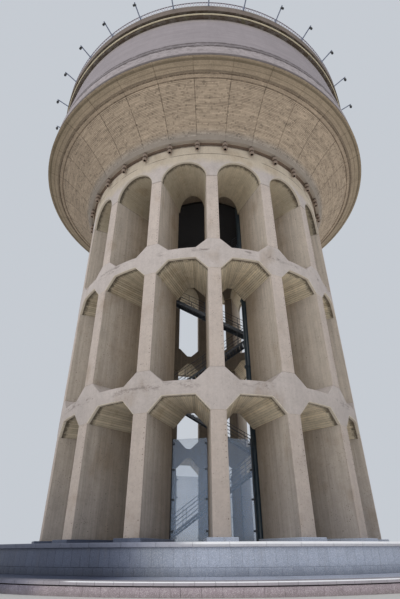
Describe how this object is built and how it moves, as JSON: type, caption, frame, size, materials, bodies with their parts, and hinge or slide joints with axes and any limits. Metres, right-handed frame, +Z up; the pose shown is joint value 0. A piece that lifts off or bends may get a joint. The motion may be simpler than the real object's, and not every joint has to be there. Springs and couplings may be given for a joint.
{
  "type": "water tower",
  "caption": "Round concrete water tower: radial pier walls in three storeys of open bays on a stepped podium, a flared tank with a railed gallery, and a steel stair inside.",
  "frame": {"origin": "on the ground at the tower's vertical axis, at the bottom centre of the bounding box", "axes": "+Z up along the tower's axis; one bay between two piers faces -Y, and so do bays on +X, +Y and -X"},
  "size_m": [30.88, 30.88, 38.245],
  "materials": {
    "granite": "honed granite slabs",
    "pale_stone": "smooth pale stone",
    "shaft_concrete": "weathered cast concrete",
    "board_concrete": "board-marked concrete",
    "smooth_concrete": "smooth cast concrete",
    "white_steel": "white paint",
    "dark_steel": "dark paint",
    "pipe_paint": "blue-grey paint",
    "screen_glass": "clear laminated sheets"
  },
  "bodies": {
    "root": {"podium_step": "granite", "podium_wall": "granite", "podium_coping": "pale_stone", "podium_floor": "pale_stone", "pier_01": "shaft_concrete", "pier_02": "shaft_concrete", "pier_03": "shaft_concrete", "pier_04": "shaft_concrete", "pier_05": "shaft_concrete", "pier_06": "shaft_concrete", "pier_07": "shaft_concrete", "pier_08": "shaft_concrete", "pier_09": "shaft_concrete", "pier_10": "shaft_concrete", "pier_11": "shaft_concrete", "pier_12": "shaft_concrete", "pier_13": "shaft_concrete", "pier_14": "shaft_concrete", "pier_15": "shaft_concrete", "pier_16": "shaft_concrete", "lower_ring_right": "shaft_concrete", "lower_ring_left": "shaft_concrete", "middle_ring_right": "shaft_concrete", "middle_ring_left": "shaft_concrete", "arcade_ring_right": "shaft_concrete", "arcade_ring_left": "shaft_concrete", "tank_floor": "board_concrete", "tank_cone_right": "board_concrete", "tank_cone_left": "board_concrete", "tank_wall_right": "smooth_concrete", "tank_wall_left": "smooth_concrete", "cornice": "smooth_concrete", "roof_slab": "smooth_concrete", "gallery_rail": "white_steel", "glass_screen": "screen_glass", "riser_pipe": "pipe_paint", "stair_flight_1": "dark_steel", "stair_landing_1": "dark_steel", "stair_flight_2": "dark_steel", "stair_landing_2": "dark_steel", "stair_flight_3": "dark_steel", "stair_landing_3": "dark_steel", "stair_flight_4": "dark_steel", "stair_landing_4": "dark_steel", "stair_flight_5": "dark_steel", "stair_landing_5": "dark_steel"}
  },
  "joints": []
}
